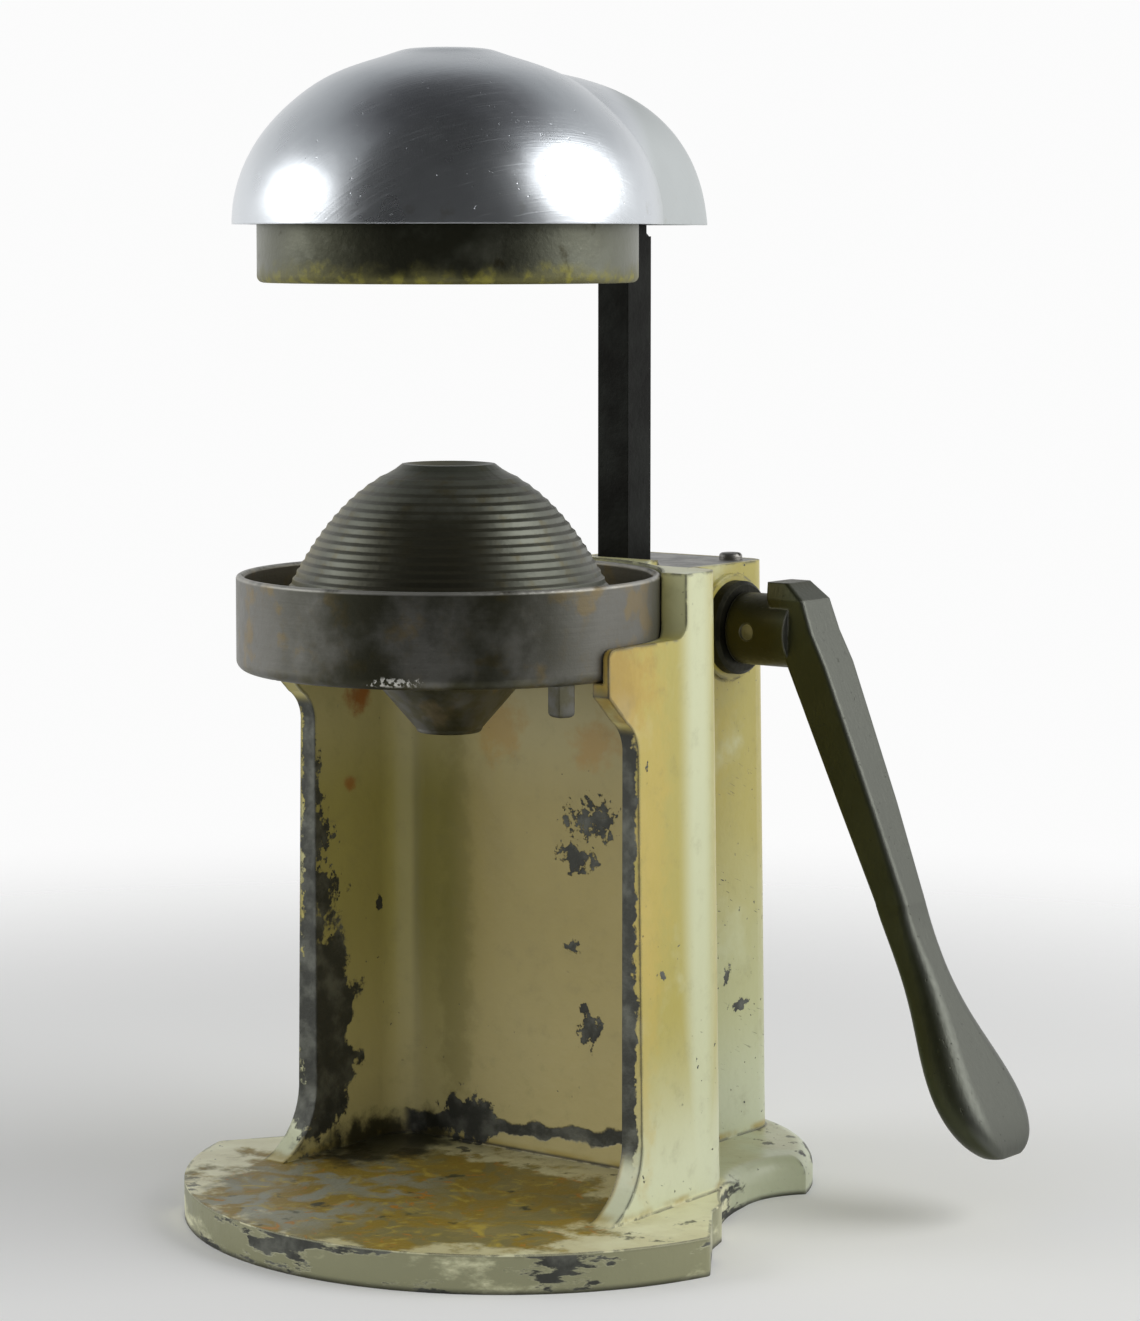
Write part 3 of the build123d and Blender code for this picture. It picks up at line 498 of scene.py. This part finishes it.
def cup_metal():
    """Dull metal with a painted dark reflection at the front, old juice at the lip and dark specks of dirt.
    """
    s = Shade("grime_and_reflection_cup_aluminium")
    clouds = s.noise(16.0, detail=5.0, seed=1)
    colour = s.mix(clouds, (0.10, 0.10, 0.07), (0.21, 0.22, 0.18))
    # Painted dark reflection: the side of the cup towards the front is painted near black.
    painted_dark_reflection = s.times(s.side(28.0, 0.45, 0.98), s.step(clouds, 0.20, 0.50))
    colour = s.mix(s.times(painted_dark_reflection, 0.88), colour, (0.022, 0.022, 0.010))
    lip = s.step(s.add(s.z, s.times(s.noise(6.0, detail=5.0, seed=2), 9.0)), 239.0, 233.0)
    colour = s.mix(s.times(lip, 0.8), colour, (0.13, 0.12, 0.025))
    colour = s.mix(s.times(lip, s.flecks(3.5, 0.46, 0.62, seed=3), 0.8), colour, (0.24, 0.22, 0.03))
    colour = s.mix(s.times(s.flecks(8.0, 0.60, 0.72, detail=6.0, seed=4), 0.8), colour, (0.035, 0.03, 0.012))
    grain = s.noise(1.6, detail=5.0, seed=5)
    height = s.add(s.times(grain, 0.5), s.times(s.noise(7.0, seed=6), 0.6))
    metallic = s.shift(lip, 0.85, 0.35)
    roughness = s.shift(lip, 0.40, 0.62)
    return s.finish(colour, metallic, roughness, height, depth=0.18, round_edge=0.5)


def handle_metal():
    """Dark metal with painted light on the face that looks away from the press, bright on the edges."""
    s = Shade("dark_handle_aluminium")
    grain = s.noise(1.0, detail=4.0, stretch=(1, 1, 9), seed=1)
    clouds = s.noise(18.0, detail=5.0, seed=2)
    colour = s.mix(clouds, (0.030, 0.034, 0.016), (0.080, 0.085, 0.050))
    # Painted light: the face turned away from the press, towards the right-hand lamp, is painted paler.
    painted_lit_face = s.step(s.facing[0], 0.35, 0.8)
    colour = s.mix(s.times(painted_lit_face, 0.75), colour, (0.13, 0.135, 0.12))
    hub = s.step(s.x, 48.0, 40.0)
    colour = s.mix(s.times(hub, 0.85), colour, (0.045, 0.040, 0.012))
    rim = s.times(s.edge(0.9, 0.02, 0.12), s.flecks(9.0, 0.35, 0.55, seed=3))
    colour = s.mix(s.times(rim, 0.6), colour, (0.34, 0.34, 0.30))
    pits = s.flecks(1.3, 0.66, 0.74, detail=3.0, seed=4)
    colour = s.mix(s.times(pits, 0.5), colour, (0.03, 0.03, 0.02))
    height = s.add(s.times(grain, 0.5), s.times(clouds, 0.5), s.times(pits, -0.5))
    return s.finish(colour, 0.8, s.add(0.34, s.times(grain, 0.20)), height, depth=0.14, round_edge=0.8)


# ---------------------------------------------------------------- steel, iron and bronze
def plain_metal(name, dark, light, size, roughness, depth):
    """Turned or cast metal with clouds of tarnish, fine grain and brighter edges."""
    s = Shade(name)
    clouds = s.noise(size, detail=5.0, seed=1)
    grain = s.noise(size * 0.12, detail=4.0, seed=2)
    colour = s.mix(s.step(clouds, 0.3, 0.7), dark, light)
    tarnish = s.flecks(size * 0.4, 0.58, 0.72, detail=6.0, seed=3)
    colour = s.mix(s.times(tarnish, 0.5), colour, tuple(0.35 * c for c in dark))
    rim = s.edge(0.6, 0.02, 0.12)
    colour = s.mix(s.times(rim, 0.4), colour, tuple(min(0.8, 1.8 * c) for c in light))
    return s.finish(colour, 0.9, s.add(roughness, s.times(grain, 0.2)), grain, depth=depth, round_edge=0.3)


# ---------------------------------------------------------------- floor and finishes
FLOOR_RADIUS = 0.64


def floor_paint():
    """Plain pale floor that fades into the pale surroundings."""
    s = Shade("pale_floor")
    shader = s.tree.nodes.new("ShaderNodeBsdfDiffuse")
    shader.inputs["Color"].default_value = (0.92, 0.92, 0.91, 1.0)
    clear = s.tree.nodes.new("ShaderNodeBsdfTransparent")
    blend = s.tree.nodes.new("ShaderNodeMixShader")
    s.put(blend.inputs[0], s.step(s.from_axis(), 260.0, 1000.0 * FLOOR_RADIUS - 20.0))
    s.put(blend.inputs[1], shader.outputs[0])
    s.put(blend.inputs[2], clear.outputs[0])
    out = s.tree.nodes.new("ShaderNodeOutputMaterial")
    s.put(out.inputs["Surface"], blend.outputs[0])
    return s.material


FINISHES = {
    "enamel": enamel(),
    "bowl_aluminium": bowl_metal(),
    "cone_aluminium": cone_metal(),
    "dome_aluminium": dome_metal(),
    "cup_aluminium": cup_metal(),
    "handle_aluminium": handle_metal(),
}
# Slot, name, dark and light tint, size of the clouds in millimetres, roughness and depth of the relief.
for slot, name, dark, light, size, roughness, depth in (
    ("rack_steel", "blackened_rack_steel", (0.003, 0.003, 0.002), (0.010, 0.011, 0.009), 14.0, 0.32, 0.08),
    ("plain_steel", "aged_steel", (0.10, 0.10, 0.09), (0.30, 0.29, 0.27), 8.0, 0.34, 0.06),
    ("guide_iron", "rough_iron", (0.05, 0.05, 0.045), (0.11, 0.10, 0.09), 7.0, 0.6, 0.2),
    ("shoe_bronze", "dull_bronze", (0.24, 0.17, 0.08), (0.42, 0.31, 0.15), 8.0, 0.4, 0.08),
    ("bush_bronze", "grimy_bush_metal", (0.006, 0.006, 0.003), (0.030, 0.029, 0.018), 9.0, 0.42, 0.10),
):
    FINISHES[slot] = plain_metal(name, dark, light, size, roughness, depth)


def dress_nodes():
    """Every CAD node takes the finish of its slot in the record."""
    for part in frame["record"]["subparts"]:
        mesh = nodes[part["node"]].data
        mesh.materials.clear()
        mesh.materials.append(FINISHES[part["material_slot"]])


# ---------------------------------------------------------------- studio
PRESS_MIDDLE = Vector((0, 0, 0.15))
FLAG_CENTRE = Vector((0, 0, 0.2))
CAMERA_MM = Vector((575.6, -700.5, 239.2))
CAMERA_YAW = radians(37.57)
CAMERA_PITCH = radians(4.76)
CAMERA_LENS = 103.2
CAMERA_SHIFT = -0.08


def toward(azimuth, elevation):
    """Unit vector; azimuth 0 is the front of the press, 90 its crank side."""
    a = radians(azimuth)
    e = radians(elevation)
    return Vector((sin(a) * cos(e), -cos(a) * cos(e), sin(e)))


def softbox(name, azimuth, elevation, distance, width, height, power):
    """Elliptical lamp turned to the middle of the press, in metres and watts."""
    light = bpy.data.lights.new(name, "AREA")
    light.shape = "ELLIPSE"
    light.size = width
    light.size_y = height
    light.energy = power
    lamp = bpy.data.objects.new(name, light)
    bpy.context.scene.collection.objects.link(lamp)
    away = toward(azimuth, elevation)
    lamp.location = PRESS_MIDDLE + away * distance
    lamp.rotation_mode = "QUATERNION"
    lamp.rotation_quaternion = away.to_track_quat("Z", "Y")
    lamp.visible_camera = False


def evenly(limits, steps):
    """Numbers from one limit to the other, both included."""
    low, high = limits
    return [low + (high - low) * i / steps for i in range(steps + 1)]


def patch_of_sphere(name, azimuths, elevations, radius):
    """Curved sheet round the press, like a black flag in a studio."""
    mesh = bmesh.new()
    across, up = 24, 16
    rows = []
    for elevation in evenly(elevations, up):
        row = []
        for azimuth in evenly(azimuths, across):
            row.append(mesh.verts.new(FLAG_CENTRE + toward(azimuth, elevation) * radius))
        rows.append(row)
    for j in range(up):
        for i in range(across):
            mesh.faces.new((rows[j][i], rows[j][i + 1], rows[j + 1][i + 1], rows[j + 1][i]))
    data = bpy.data.meshes.new(name)
    mesh.to_mesh(data)
    mesh.free()
    sheet = bpy.data.objects.new(name, data)
    bpy.context.scene.collection.objects.link(sheet)
    return sheet


def black_flag():
    """Seen only in reflections: it gives the polished metal its dark middle."""
    flag = patch_of_sphere("black_flag", (-20, 94), (-26, 83), 2.2)
    s = Shade("flag_cloth")
    flag.data.materials.append(s.finish((0.02, 0.02, 0.02), 0.0, 0.9))
    flag.visible_camera = False
    flag.visible_diffuse = False
    flag.visible_shadow = False
    flag.visible_transmission = False


def pale_floor():
    """Round sheet on z = 0."""
    mesh = bmesh.new()
    bmesh.ops.create_circle(mesh, cap_ends=True, radius=FLOOR_RADIUS, segments=96)
    data = bpy.data.meshes.new("floor")
    mesh.to_mesh(data)
    mesh.free()
    floor = bpy.data.objects.new("floor", data)
    bpy.context.scene.collection.objects.link(floor)
    floor.data.materials.append(floor_paint())


def pale_world():
    """Pale near the horizon and below it, grey higher up and dark overhead."""
    world = bpy.data.worlds.new("studio")
    bpy.context.scene.world = world
    world.use_nodes = True
    tree = world.node_tree
    tree.nodes.clear()
    direction = tree.nodes.new("ShaderNodeTexCoord").outputs["Generated"]
    height = tree.nodes.new("ShaderNodeSeparateXYZ")
    tree.links.new(direction, height.inputs[0])
    ramp = tree.nodes.new("ShaderNodeValToRGB")
    ramp.color_ramp.elements[0].position = 0.15
    ramp.color_ramp.elements[0].color = (0.97, 0.97, 0.97, 1.0)
    ramp.color_ramp.elements[1].position = 0.75
    ramp.color_ramp.elements[1].color = (0.42, 0.43, 0.44, 1.0)
    for position, grey in ((0.86, 0.16), (0.95, 0.04)):
        ramp.color_ramp.elements.new(position).color = (grey, grey, 1.06 * grey, 1.0)
    tree.links.new(height.outputs["Z"], ramp.inputs[0])
    sky = tree.nodes.new("ShaderNodeBackground")
    tree.links.new(ramp.outputs[0], sky.inputs["Color"])
    out = tree.nodes.new("ShaderNodeOutputWorld")
    tree.links.new(sky.outputs[0], out.inputs["Surface"])


def place_camera():
    """The photograph's angle: above the bowl's rim, and round to the crank side."""
    data = bpy.data.cameras.new("view")
    data.sensor_width = 36.0
    data.lens = CAMERA_LENS
    data.shift_y = CAMERA_SHIFT
    camera = bpy.data.objects.new("view", data)
    bpy.context.scene.collection.objects.link(camera)
    camera.location = CAMERA_MM * MM
    level = cos(CAMERA_PITCH)
    look = Vector((-sin(CAMERA_YAW) * level, cos(CAMERA_YAW) * level, -sin(CAMERA_PITCH)))
    camera.rotation_mode = "QUATERNION"
    camera.rotation_quaternion = look.to_track_quat("-Z", "Y")
    data.clip_start = 0.01
    data.clip_end = 20.0
    bpy.context.scene.camera = camera


dress_nodes()
pale_world()
pale_floor()
black_flag()
softbox("soft_right", 118, 30, 1.15, 1.00, 0.85, 7.0)
softbox("soft_left", -50, 20, 1.25, 0.90, 0.65, 4.0)
place_camera()
bpy.context.scene.view_settings.view_transform = "Standard"
